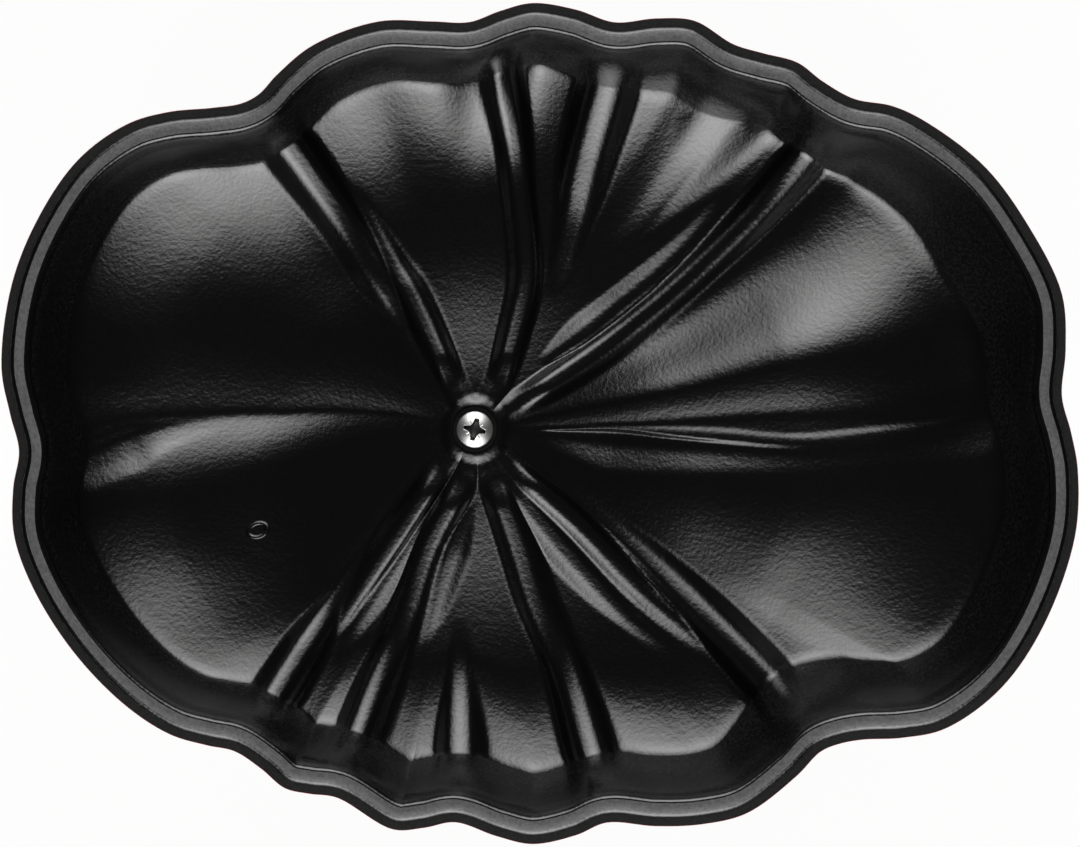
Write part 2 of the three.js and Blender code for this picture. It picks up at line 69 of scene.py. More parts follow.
# Lid, measured from the plane of its rim
RIM_DROP = 3.4 * MM  # from the rim's highest line down to the outline
FLANGE_THICK = 5.5 * MM
FLANGE_ROUND = 0.9 * MM
WALL_HOLLOW = 0.35  # 0 is a straight wall, 1 turns up from a level foot
WALL_RINGS = 13
DULLNESS = 0.6  # of the enamel on that wall
GLOSSY_RINGS = 3  # of the lip over it that are not dull
FILLET_START = 0.965  # share of the way from the boss at which the floor turns up to the wall
FILLET_RISE = 0.35 * MM
WALL_SOFT = 0.65  # how far the foot's way in turns from the lobes' to the oval's
FLOOR_DEPTH = (21.2 * MM, 22.4 * MM)  # at the back and at the front
FLOOR_REACH = (45 * MM, 58 * MM)  # from the boss to where the floor has fallen to its depth
FRONT_BLEND = (0.5, -0.5)  # sines of the directions in which the back ends and the front begins
FALL_EASE = 0.8  # less than 1 makes the floor fall sooner round the boss
NEAR_SHARE = 0.3  # of the way from the boss to the wall, which is cut more finely
NEAR_RINGS = 44
FAR_RINGS = 62
DOME_RINGS = 26
DIP_START = 8 * MM  # from the boss to where the side lobes begin to dip
DIP_REACH = 76 * MM  # and to where they have dipped fully
DIP_FADE = (78 * MM, 118 * MM)  # between these distances from the boss they grow shallower again
DIP_LOST = 0.48  # by this share
DIP_EASE = 0.4  # 0 dips evenly, 1 dips sooner and levels out
CREST_EASE = 0.03  # share of a side lobe's turn that rounds its first edge
LID_WALL = 4.7 * MM
DOME_EDGE_INSET = 12 * MM
POT_RIM = 6 * MM
NEST_DEPTH = RIM_PLANE - POT_HEIGHT
NEST_GAP = 0.4 * MM
RIM_ROUND = 1.5 * MM
HOLE_RADIUS = 2.8 * MM
BOSS_RADIUS = 5.6 * MM
BOSS_FOOT_RADIUS = 8.6 * MM
BOSS_RISE = 1.4 * MM
BOSS_EDGE = 0.2 * MM
SEAT_RADIUS = 14 * MM
SEAT_EDGE = 1 * MM

# The lip inside the rim: inset from the outline and depth in millimetres, and how far the way in turns from
# the lobes' to the oval's
LIP_PROFILE = [(8.3, 3.2, 0.4), (7.5, 1.9, 0.3), (7, 1.05, 0.2), (6.6, 0.46, 0.1), (6.3, 0.15, 0)]

# The rim from its crest out to the outline: inset and depth in millimetres
RIM_PROFILE = [
    (6.05, 0.06), (5.85, 0.01), (5.65, 0.05), (5.45, 0), (4.5, 0.06), (3.6, 0.15), (3.4, 0.22), (3.2, 0.25),
    (2.9, 0.36), (2.6, 0.55), (2.3, 0.83), (1.9, 1.3), (1.5, 1.85), (1.1, 2.4), (0.7, 2.95), (0.4, 3.35),
    (0.15, 3.65),
]

# Under the rim, also inset and depth: the flange's edge, the slope to the nest, and the start of the dome
EDGE_PROFILE = [(0, 3.8), (0.1, 4.4), (0.4, 5.1)]
SLOPE_PROFILE = [(2.2, 7), (3.9, 9.6)]
DOME_START = (8.6, 17.6)

# Bands across the rim: insets in millimetres, and how bare, matt or red the rim is there
BARE_BAND = ((3.3, 3.6, 5.6, 5.85), (0, 1, 1, 0))
MATT_BAND = ((2.2, 2.8), (1, 0))
RED_BAND = ((0, 0.3), (0.42, 0))

# Casting pip on the floor of the lid
PIP_FROM_BOSS = (-51.8 * MM, -23.9 * MM)
PIP_RADII = (2.3 * MM, 1.6 * MM)
PIP_TURN = math.radians(20)
PIP_RIDGE = (0.6 * MM, 0.35 * MM)  # half width and rise of the ring that it left
PIP_STEPS = 48
PIP_SECTION = 12

# Ridges under the lid
RIDGE_BLEND = 12  # more makes a sharper crease where two ridges meet
CREST_ROUND = 0.5  # rounding of a crest, against the mean width of its flanks
SHOULDER = 4  # 2 rounds a crest evenly, more keeps it flat up to a sharper shoulder
FLANK_FOOT = 0.25  # share of a flank's height that its foot is eased over
CREASE_WIDENING = 1 * MM  # of the ridges, as creases in the outside of the lid
CREASE_SHARE = 0.7  # of a ridge's height that its crease has
CREASE_FADE = (0.3, 0.9)  # shares of the way out between which a crease has all of it
HEIGHT_AT_WALL = 1.7  # of a ridge, against its drawn height
WIDTH_AT_BOSS = 0.8  # against its drawn widths
WIDTH_AT_WALL = 1.25
WIDTH_AT_END = 0.4  # where it tapers to nothing
GROWN_RADIUS = 32 * MM  # where a ridge has its drawn size
KEPT_SHARE = 0.55  # and how far it keeps it, from the boss (0) to the wall's foot (1)
RIDGE_START = (11 * MM, 20 * MM)  # between these distances from the boss the ridges grow
GUSSET_HEIGHT = 0.8 * MM  # of the gussets that lead from the boss to the ridges
PATH_STEPS = 24

# Pot
POT_WALL = 5 * MM
POT_FLOOR = 6 * MM
RIM_BLEND = 12 * MM
WALL_LEAN = 34 * MM
LEAN_CURVE = 1.6
BASE_ROUND = 12 * MM
LOBES_LOST = 0.75
FOOT_INSET = 8 * MM
FOOT_HOLLOW = 0.6 * MM
FOOT_EDGE = 1.5 * MM
POT_FLOOR_SHARES = (0.15, 0.4, 0.7)  # rings on the floor, from the middle line to the wall
POT_FOOT_SHARES = (0.3, 0.7, 0.9)  # rings under the floor, from the foot to the middle line
POT_WALL_RINGS = 25
BASE_RINGS = 10
RIM_RINGS = 5  # round each edge of the rim
RED_RIM_RINGS = 2  # of these, at the outside

# Lug handles
LUG_DROP = 55 * MM
LUG_TIP = pot_high.x
LUG_HALF_WIDTH = 42 * MM
LUG_SLOT_HALF = 25 * MM
LUG_BAR = 7.5 * MM
LUG_HALF_THICK = 6 * MM
LUG_ROOT = 96 * MM
LUG_ACROSS = 0.75  # powers that square off the bar's way across, its way out and its section
LUG_OUT = 0.35
LUG_CORNER = 0.55
LUG_STEPS = 90
LUG_SECTION = 28

# Knob, and its outline: radius in millimetres, share of the way down, and depth of the ribs as a share of it
KNOB_RIBS = 5
KNOB_BEND = 3 * MM  # how far its end leans towards +X
KNOB_STEPS = 120
KNOB_RINGS = 60
TAP_RADIUS = 2.65 * MM
TAP_DEPTH = 11.5 * MM
KNOB_PROFILE = [
    (10.1, 0, 0.14), (11, 0.05, 0.16), (9.35, 0.125, 0.13), (6.4, 0.24, 0.09), (5.3, 0.46, 0.07),
    (5.3, 0.68, 0.07), (6.3, 0.88, 0.08), (6.3, 0.95, 0.07), (5, 1, 0.05), (2, 1.0, 0.02),
]

# Screw head, with rings close enough for its cross recess
SCREW_STEPS = 192
HEAD_DOME = 7 * MM  # radius of the ball that the head's top is part of
HEAD_GAP = 0.1 * MM  # over the washer
RECESSED_RADII = np.concatenate([np.linspace(0.06, 3, 60), np.linspace(3.05, 4, 12)]) * MM
HEAD_TOP = RECESSED_RADII[-1]

# Cross recess: distances from the middle along an arm and the arm's half widths there, the distances between
# which its sides and its end slope, and the same of the ticks between the arms
RECESS_TURN = math.radians(-13)
RECESS_DEPTH = 1.5 * MM
ARM_ALONG = np.multiply((0, 0.7, 1.3, 2.3), MM)
ARM_HALF_WIDTHS = np.multiply((1.5, 1.15, 0.72, 0.45), MM)
ARM_SIDE = np.multiply((-0.06, 0.14), MM)
ARM_END = np.multiply((2.65, 2.35), MM)
TICK_DEPTH = 0.12 * MM
TICK_SIDE = np.multiply((0.14, 0.05), MM)
TICK_START = np.multiply((0.9, 1.1), MM)
TICK_END = np.multiply((2.3, 2.0), MM)

# Screw and washer under the head's top: radius, and rise over the height each starts from, in millimetres
HEAD_EDGE = [(4.16, -0.1), (4.26, -0.25), (4.3, -0.45)]
HEAD_UNDERSIDE = [(4.3, 0.1), (4.2, 0), (2.5, 0), (2.1, -0.2)]
SHANK_END = [(2.1, 0.5), (1.6, 0)]
WASHER_TOP = [(2.8, 0), (4.9, 0), (5.15, -0.08), (5.3, -0.3)]
WASHER_BASE = [(5.3, 0), (2.8, 0)]
WASHER_STEPS = 96

# Screw thread
THREAD_RADIUS = 2.1 * MM
THREAD_LENGTH = 11 * MM
THREAD_PITCH = 0.8 * MM
THREAD_DEPTH = 0.38 * MM
THREAD_START = 0.6 * MM  # over the screw's end
THREAD_STEPS = 40  # in a turn
WEDGE_CORNERS = 3

# How finely the castings are cut
STATIONS = 540
POT_STATIONS = 360

# The outline as drawn: (angle in degrees, distance from the middle in millimetres), over the lobes
OUTLINE_POINTS = [
    (3, 121.3), (8, 123.2), (14, 124.8), (22, 122.3), (30, 119.2), (38, 113.7), (42, 110.1),
    (46, 104.8), (50.5, 103), (54.5, 102.9), (59, 100.3), (63, 98.8), (69, 100.1), (74, 97.8),
    (79.5, 94.7), (85, 96.4), (91, 97.6), (95.5, 96.2), (100, 94.6), (105, 96.6), (112, 100.6),
    (121, 102.4), (127, 101.4), (130.5, 100.5), (133, 101.6), (136, 105.5), (140, 112.5), (144, 118.3),
    (150, 123.3), (157, 125.7), (165, 126.8), (174, 125.7), (179, 123), (183, 121.1), (187, 123.2),
    (192, 124.8), (198, 123.7), (206, 120.6), (214, 116.5), (220, 112.2), (224, 107.5), (227, 104),
    (231, 103), (235, 103.3), (238, 101.3), (241.5, 98.8), (250, 100.2), (254, 97.6), (258, 94.6),
    (264, 96.3), (269, 97.6), (275, 95.9), (279.5, 93.9), (286, 97.2), (292, 100.3), (298, 102.4),
    (306, 101.2), (310.5, 100.2), (313, 101.7), (315.5, 104.7), (319, 111.2), (323, 117.7), (330, 123.3),
    (338, 125.9), (348, 126.9), (355, 125.3), (359, 123.3),
]

# The ridges as drawn, in millimetres: height, width of the left and right flank as seen from the boss, share
# of the length over which the start and the end taper, and crest points from the boss to the wall
RIDGES_DRAWN = {
    "back_left": (2.6, (3.6, 4.6), (0, 0.55), [
        (-20, 8.1), (-29.6, 28.4), (-34, 36.1), (-40.2, 47.8), (-46, 57),
    ]),
    "back_left_outer": (2.8, (6, 4.4), (0.45, 0), [
        (-31, 22), (-34.4, 28.4), (-38.8, 36.1), (-46.5, 48.7), (-58.6, 65.6), (-63, 71),
    ]),
    "back_fork_left": (2.6, (4.6, 3.6), (0, 0), [
        (-9.3, 10.1), (-5.5, 22.6), (-3.2, 33), (-3.4, 43), (-4.6, 53.6), (-5.8, 66.1), (-8.2, 80.6),
        (-9, 86),
    ]),
    "back_fork_right": (2.8, (5.5, 6.5), (0.6, 0), [
        (1, 30), (4.7, 37.3), (8, 49.8), (10.5, 61.3), (15.8, 80.6), (17, 86),
    ]),
    "back_swell": (0.8, (8, 8), (0.7, 0), [(33, 60), (42.4, 76.2), (45, 80)]),
    "back_right": (2.5, (4, 4.6), (0, 0), [
        (-4.4, 5.3), (3.5, 10.2), (15.4, 18.2), (30.2, 30.1), (46.1, 44.9), (56, 55.5), (64.9, 65.8),
        (69, 71),
    ]),
    "back_right_fold": (1.5, (4.5, 3), (0.3, 0.6), [(0, 14), (9.4, 20.5), (24, 32), (36, 43.5), (45, 55)]),
    "right_rib": (0.3, (2.5, 6), (0.4, 0), [
        (-1.4, -0.6), (17.2, -2), (41.9, -3.4), (60.5, -5), (79.1, -3.6), (94.2, -2), (108, 1.2),
    ]),
    "right_fold": (1.5, (1.4, 9), (0.25, 0.75), [
        (-1, -2), (18.6, -2.8), (32.5, -4.2), (60.3, -6.2), (83.5, -6.4),
    ]),
    "front_right": (2.5, (3.5, 5), (0, 0.6), [
        (-7.6, -9.5), (8.4, -23), (21.8, -37.2), (35.2, -48.8), (42.3, -55),
    ]),
    "front_right_outer": (2.7, (6, 4.4), (0.5, 0), [
        (1.2, -10), (17.3, -24.5), (28, -34.5), (38.7, -45.2), (48.6, -55.9), (59.3, -67.5), (63, -71.5),
    ]),
    "front_middle": (1.6, (4, 5), (0, 0.5), [
        (-7.5, -12.8), (-0.5, -22), (11.1, -35.4), (21.9, -46.3), (35.3, -56.1),
    ]),
    "front": (2.5, (5, 5), (0, 0), [
        (-11, -13), (-5.6, -27), (-1.2, -41), (3.2, -51), (6.4, -58.5), (9.6, -69), (13, -81.2), (14.5, -87),
    ]),
    "front_short": (1.8, (5, 5), (0.8, 0), [(-19, -46), (-18.9, -66), (-18.6, -87)]),
    "front_inner": (2.4, (4.2, 4.6), (0, 0), [
        (-17.9, -13.5), (-25.7, -28), (-30.5, -42.5), (-33.6, -51), (-38.5, -62), (-43, -74), (-46, -81),
    ]),
    "front_inner_fold": (1.2, (4.5, 3), (0.3, 0.7), [
        (-15.8, -18), (-21.8, -32.8), (-25.7, -45.4), (-29, -52),
    ]),
    "front_left_fold": (1.1, (4.2, 2.8), (0.2, 0.7), [
        (-23.7, -16.5), (-34.3, -32.9), (-43, -46.4), (-50, -57),
    ]),
    "front_left": (2.5, (3.2, 5), (0, 0.6), [
        (-21.8, -9.7), (-32.4, -25.1), (-41.1, -38), (-47.4, -47.4), (-50, -51),
    ]),
    "front_left_outer": (2.8, (4.8, 4.6), (0.5, 0), [
        (-39, -28), (-48.8, -42.5), (-56.5, -54.1), (-63.3, -65.3), (-67, -71),
    ]),
    "left_branch": (0.6, (5, 4), (0.6, 0), [(-74, 1), (-91.8, -3.4), (-98.9, -6.2), (-110, -10.5)]),
}

# How the floor rises to the wall: angle round the boss in degrees, share of the way out at which the rise
# begins, and the rise in millimetres
FLOOR_RISES = [
    (3, 0.75, 6), (21, 0.8, 1.5), (36, 0.82, 1), (43.5, 0.75, 3), (50, 0.56, 7.5), (55, 0.5, 8),
    (70, 0.54, 8), (79, 0.62, 7), (87, 0.62, 10), (97, 0.6, 6.5), (107, 0.52, 8), (124, 0.62, 5.5),
    (142, 0.56, 4.8), (165, 0.7, 4), (179, 0.75, 3), (200, 0.7, 3.5), (218, 0.62, 3.5), (233, 0.66, 4.5),
    (249, 0.66, 5), (258, 0.64, 5.5), (279, 0.66, 5.5), (304, 0.68, 5), (316, 0.66, 2), (334, 0.58, 4),
]

# How far in from the outline the wall has its foot: angle round the boss in degrees, and inset in millimetres
FOOT_INSETS = [
    (0, 15), (20, 21), (35, 19.5), (43, 15.5), (50, 16), (60, 17.5), (72, 15), (82, 13.4),
    (180, 13.4), (215, 14), (240, 15.4), (300, 15.6), (318, 20), (335, 16),
]

# The crests between the lobes at the sides, and the crests that part these lobes from the back and the front
LEFT_CREST = [(-24.5, 0.8), (-61, 2.7), (-81.7, 2.2), (-107.8, 0.1), (-114, 0)]
RIGHT_CREST = [(10, -0.4), (23.5, 0), (48, 1.5), (79, 2.5), (97.7, 4.1), (112, 5.5)]
BACK_LEFT_CREST = [(-19.8, 7.2), (-30.8, 27.9), (-45.4, 49.1), (-63, 71)]
FRONT_LEFT_CREST = [(-21.5, -9.5), (-38.6, -32.5), (-56.5, -54.5), (-67, -70)]
FRONT_RIGHT_CREST = [(-7.6, -9.5), (21.8, -37.2), (48.6, -55.9), (63, -71.5)]
BACK_RIGHT_CREST = [(-4.4, 5.3), (30.2, 30.1), (56, 55.5), (69, 71)]

# The lobes at the sides, which dip under the rest of the floor: the crests at their two edges, share of the
# turn between these at which the slope to the second begins, dip there in millimetres, rise from there to the
# first (less than nothing where the floor falls), how late the slope steepens, and where it is level
SIDE_LOBES = {
    "back_left": (LEFT_CREST, BACK_LEFT_CREST, 0.27, 4.7, 1.9, 1.5, 0.8),
    "front_left": (LEFT_CREST, FRONT_LEFT_CREST, 0.23, 5.8, 3, 1, 1),
    "front_right": (RIGHT_CREST, FRONT_RIGHT_CREST, 0.18, 7.4, -1, 1.3, 1),
    "back_right": (RIGHT_CREST, BACK_RIGHT_CREST, 0.26, 10.2, 1.8, 1, 0.8),
}

# Camera and lamps
CAMERA_HEIGHT = 0.9  # over the rim plane
VIEW_WIDTH = LENGTH * 1080 / 1078  # the outline is 1078 of the picture's 1080 pixels long
SENSOR_WIDTH = 36
LAMP_DISTANCE = 1.0
LAMP_TILT = math.radians(53)  # from straight up
LAMP_SIZE = (2.0, 1.3)
LAMP_SPREAD = math.radians(72)  # dims the lamp towards its edges, as a softbox does
LAMPS = {"softbox_front": (-1, 0.87), "softbox_back": (1, 0.73)}  # side along Y, and radiance
WORLD_LIGHT = 0.02
FLOOR_SIZE = 80
FLOOR_GREY = 0.8
FLOOR_WHITENESS = 0.95  # share of plain white in the floor as it is seen

# Metals
KNOB_COLOUR = (0.56, 0.55, 0.53)
SCREW_COLOUR = (0.78, 0.78, 0.77)


def smoothstep(value, low, high):
    share = np.clip((value - low) / (high - low), 0, 1)
    return share * share * (3 - 2 * share)


def lerp(start, end, share):
    return start + (end - start) * share


def cubic(start, end, leave, arrive, part):
    """Places between two others on the cubic that leaves and arrives with given tangents."""
    square = 3 * (end - start) - 2 * leave - arrive
    cube = 2 * (start - end) + leave + arrive
    return start + leave * part + square * part**2 + cube * part**3


# Outline
def closed_curve(points, turns):
    """Places on the closed centripetal Catmull-Rom curve through points, at shares of a turn."""
    count = len(points)
    along = (turns % 1) * count
    first = np.floor(along).astype(int)
    part = (along - first)[:, None]
    before, start, end, after = (points[(first + step) % count] for step in (-1, 0, 1, 2))

    def knot(one, two):
        return np.sqrt(np.linalg.norm(two - one, axis=1))[:, None]

    gap_before = knot(before, start)
    gap = knot(start, end)
    gap_after = knot(end, after)
    leave = (start - before) / gap_before - (end - before) / (gap_before + gap) + (end - start) / gap
    arrive = (end - start) / gap - (after - start) / (gap + gap_after) + (after - end) / gap_after
    return cubic(start, end, leave * gap, arrive * gap, part)


def drawn_points():
    angle = np.radians([point[0] for point in OUTLINE_POINTS])
    radius = np.array([point[1] for point in OUTLINE_POINTS]) * MM
    return np.stack([radius * np.cos(angle), radius * np.sin(angle)], 1)


DRAWN = drawn_points()
DRAWN_CURVE = closed_curve(DRAWN, np.linspace(0, 1, CURVE_STEPS, endpoint=False))
DRAWN_MIDDLE = (DRAWN_CURVE.min(0) + DRAWN_CURVE.max(0)) / 2
STRETCH = np.array([LENGTH, WIDTH]) / (DRAWN_CURVE.max(0) - DRAWN_CURVE.min(0))


def stretched(places):
    return (np.asarray(places) - DRAWN_MIDDLE) * STRETCH


def unit(ways):
    return ways / np.linalg.norm(ways, axis=-1, keepdims=True)


class Outline:
    """Stations round the lobed outline, their ways out, and the plain oval that the lobes fade into."""

    def __init__(self, count):
        turns = np.arange(count) / count
        self.place = stretched(closed_curve(DRAWN, turns))
        along = closed_curve(DRAWN, turns + NEARBY) - closed_curve(DRAWN, turns - NEARBY)
        along = along * STRETCH
        self.out = unit(np.stack([along[:, 1], -along[:, 0]], 1))
        angle = np.arctan2(self.place[:, 1], self.place[:, 0])
        half = np.array([LENGTH, WIDTH]) / 2
        way = np.stack([np.cos(angle), np.sin(angle)], 1)
        radius = 1 / np.linalg.norm(way / half, axis=1)
        self.oval = way * radius[:, None]
        self.oval_out = unit(self.oval / half**2)

    def lobed(self, inset, z, softened=0.0):
        """A ring a distance in from the lobes."""
        way = unit(lerp(self.out, self.oval_out, softened))
        return with_height(self.place - inset * way, z)

    def rounded(self, inset, z, lobes=1.0):
        """A ring a distance in along the oval's way, with a share of the lobes."""
        return with_height(lerp(self.oval, self.place, lobes) - inset * self.oval_out, z)


def with_height(places, z):
    return np.concatenate([places, np.broadcast_to(z, places.shape[:-1])[..., None]], -1)


# Ridges
def open_curve(points, steps):
    """The uniform Catmull-Rom curve through points, with its end points repeated."""
    padded = np.concatenate([points[:1], points, points[-1:]])
    along = np.linspace(0, len(points) - 1, steps + 1)
    first = np.minimum(np.floor(along).astype(int), len(points) - 2)
    part = (along - first)[:, None]
    before, start, end, after = (padded[first + step] for step in range(4))
    leave = (end - before) / 2
    arrive = (after - start) / 2
    return cubic(start, end, leave, arrive, part)


def nearest_on_line(places, line):
    """Distance to a line, the side of it (positive on the left) and the share of the line that is passed."""
    distance = np.full(places.shape[:-1], np.inf)
    side = np.zeros(distance.shape)
    passed = np.zeros(distance.shape)
    for step, (start, end) in enumerate(zip(line[:-1], line[1:])):
        along = end - start
        part = np.clip((places - start) @ along / (along @ along), 0, 1)
        away = places - start - part[..., None] * along
        length = np.linalg.norm(away, axis=-1)
        nearer = length < distance
        distance = np.where(nearer, length, distance)
        side = np.where(nearer, along[0] * away[..., 1] - along[1] * away[..., 0], side)
        passed = np.where(nearer, (step + part) / (len(line) - 1), passed)
    return distance, side, passed


def tapered(passed, start, end):
    """1 along a ridge, and 0 at an end that tapers."""
    rising = smoothstep(passed, 0, start) if start else 1
    falling = smoothstep(passed, 1, 1 - end) if end else 1
    return rising * falling


def rounded_off(away, rounding):
    """How far a slope of 1 has fallen at a distance from a crest that is rounded over a distance."""
    return (away**SHOULDER + rounding**SHOULDER) ** (1 / SHOULDER) - rounding


def flank(away, width, rounding):
    """1 on a crest, with a rounded top and then an even slope to an eased foot at a width."""
    sunk = rounded_off(away, rounding)
    left = 1 - sunk / rounded_off(width, rounding)
    eased = FLANK_FOOT * np.clip((left + FLANK_FOOT) / (2 * FLANK_FOOT), 0, 1) ** 2
    return np.where(left > FLANK_FOOT, left, eased)


def ridge_rise(places, shares, widening=0.0):
    """Height of the ridges over the floor: each falls away from its crest, and the highest one wins."""
    from_boss = np.linalg.norm(places - BOSS, axis=-1)
    near = smoothstep(from_boss, BOSS_FOOT_RADIUS, GROWN_RADIUS)
    far = smoothstep(shares, KEPT_SHARE, 1)[:, None]
    tall = 1 + (HEIGHT_AT_WALL - 1) * far
    wide = lerp(WIDTH_AT_BOSS, 1, near) + (WIDTH_AT_WALL - 1) * far
    blended = np.zeros(from_boss.shape)
    grown = smoothstep(from_boss, *RIDGE_START)
    gusset = GUSSET_HEIGHT * smoothstep(from_boss, BOSS_RADIUS, BOSS_FOOT_RADIUS)
    for height, (left, right), ends, drawn in RIDGES_DRAWN.values():
        points = stretched(np.array(drawn) * MM)
        if not ends[0]:
            points = np.concatenate([[BOSS], points])
        line = open_curve(points, PATH_STEPS)
        away, side, passed = nearest_on_line(places, line)
        kept = tapered(passed, *ends)
        scale = MM * wide * lerp(WIDTH_AT_END, 1, kept)
        width = np.where(side > 0, left, right) * scale + widening
        crest = lerp(0 if ends[0] else gusset, height * MM * tall * kept, grown)
        rise = crest * flank(away, width, CREST_ROUND * (left + right) / 2 * scale)
        blended += (rise / MM) ** RIDGE_BLEND
    return blended ** (1 / RIDGE_BLEND) * MM


def wrapped(turn):
    """An angle brought between half a turn back and half a turn on."""
    return (turn + math.pi) % (2 * math.pi) - math.pi


def turn_at(crest, radius):
    """Direction from the boss to a crest, at distances from the boss."""
    away = stretched(np.array(crest) * MM) - BOSS
    return np.interp(radius, np.linalg.norm(away, axis=1), np.unwrap(np.arctan2(away[:, 1], away[:, 0])))


def side_dip(radius, turn):
    """How far the lobes at the sides lie under the rest of the floor."""
    dip = np.zeros(radius.shape)
    share = np.clip((radius - DIP_START) / (DIP_REACH - DIP_START), 0, 1)
    dipped = lerp(share, np.sin(share * math.pi / 2), DIP_EASE)
    dipped = dipped * (1 - DIP_LOST * smoothstep(radius, *DIP_FADE))
    for first, second, lowest, depth, rise, lateness, level in SIDE_LOBES.values():
        start = turn_at(first, radius)
        passed = wrapped(turn - start) / wrapped(turn_at(second, radius) - start)
        from_crest = np.sqrt(passed**2 + CREST_EASE**2) - CREST_EASE
        to_first = np.clip((lowest - from_crest) / lowest, 0, 1)
        to_second = np.clip((passed - lowest) / (1 - lowest), 0, 1)
        here = depth * (1 - smoothstep(to_second**lateness, 0, level)) - rise * to_first**2
        dip = np.where((passed >= 0) & (passed <= 1), here * dipped, dip)
    return dip * MM


def around(turn, angles, values):
    """A value that changes smoothly round the boss, through values at angles in degrees."""
    count = len(angles)
    three_turns = np.concatenate([angles - 360, angles, angles + 360])
    passed = np.interp(np.degrees(turn) % 360, three_turns, np.arange(3 * count))
    first = np.floor(passed).astype(int)
    share = smoothstep(passed - first, 0, 1)
    return lerp(values[first % count], values[(first + 1) % count], share)


def floor_depth(places, shares, start_radius, start_depth):
    """Depth of the lid's floor without its ridges, from round the boss (share 0) to the wall (share 1)."""
    away = places - BOSS
    radius = np.linalg.norm(away, axis=-1)
    turn = np.arctan2(away[..., 1], away[..., 0])
    angles, starts, rises = np.array(FLOOR_RISES).T
    start = around(turn, angles, starts)
    rise = around(turn, angles, rises) * MM
    rising = np.clip((shares[:, None] - start) / (1 - start), 0, 1) ** 2
    frontness = smoothstep(np.sin(turn), *FRONT_BLEND)
    deepest = lerp(*FLOOR_DEPTH, frontness)
    passed = np.clip((radius - start_radius) / (lerp(*FLOOR_REACH, frontness) - start_radius), 0, 1)
    fallen = smoothstep(passed**FALL_EASE, 0, 1)
    return start_depth + (deepest - start_depth) * fallen - rise * rising + side_dip(radius, turn)


# Meshes
def ring_faces(ring_count, count, looped):
    ring = np.arange(ring_count if looped else ring_count - 1)[:, None]
    step = np.arange(count)[None, :]
    here = ring * count
    after = ((ring + 1) % ring_count) * count
    beside = (step + 1) % count
    return np.stack([here + step, after + step, after + beside, here + beside], -1).reshape(-1, 4)


def ring_mesh(name, rings, looped=False, marks=None):
    """A closed mesh through anticlockwise rings, in order down the outside, marked by ring or by point."""
    rings = np.asarray(rings)
    ring_count, count = rings.shape[:2]
    points = rings.reshape(-1, 3)
    faces = ring_faces(ring_count, count, looped).tolist()
    spread = {}
    for mark, values in (marks or {}).items():
        spread[mark] = np.broadcast_to(np.reshape(values, (ring_count, -1)), (ring_count, count)).reshape(-1)
    if not looped:
        hubs = np.stack([rings[0].mean(0), rings[-1].mean(0)])
        first_hub = len(points)
        last = len(points) - count
        points = np.concatenate([points, hubs])
        spread = {mark: np.append(values, [values[0], values[-1]]) for mark, values in spread.items()}
        for step in range(count):
            beside = (step + 1) % count
            faces.append((first_hub, step, beside))
            faces.append((first_hub + 1, last + beside, last + step))
    mesh = bpy.data.meshes.new(name)
    mesh.from_pydata(points.tolist(), [], faces)
    for mark, values in spread.items():
        attribute = mesh.attributes.new(mark, "FLOAT", "POINT")
        attribute.data.foreach_set("value", values.astype(np.float32))
    mesh.shade_smooth()
    mesh.validate()
    return mesh


def full_turn(steps):
    return np.linspace(0, 2 * math.pi, steps, endpoint=False)


def axis_ring(angle, radius, z, shift=0.0):
    """A ring round the boss's axis, whose radius and height may change round it."""
    x = BOSS[0] + shift + radius * np.cos(angle)
    y = BOSS[1] + radius * np.sin(angle)
    return np.stack([x, y, np.broadcast_to(z, angle.shape)], 1)


def axis_rings(angle, *profiles):
    """Rings round the axis: a profile is a height, and pairs of radius and rise over it in millimetres."""
    return [
        axis_ring(angle, radius * MM, start + rise * MM)
        for start, profile in profiles
        for radius, rise in profile
    ]


def add_object(name, data):
    made = bpy.data.objects.new(name, data)
    bpy.context.scene.collection.objects.link(made)
    return made


def show(name, mesh, material, body, slot, *nodes):
    """Puts a finished mesh on its body, in the place of CAD nodes."""
    piece = add_object(name, mesh)
    mesh.materials.clear()
    mesh.materials.append(material)
    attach(piece, body)
    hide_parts(*nodes)


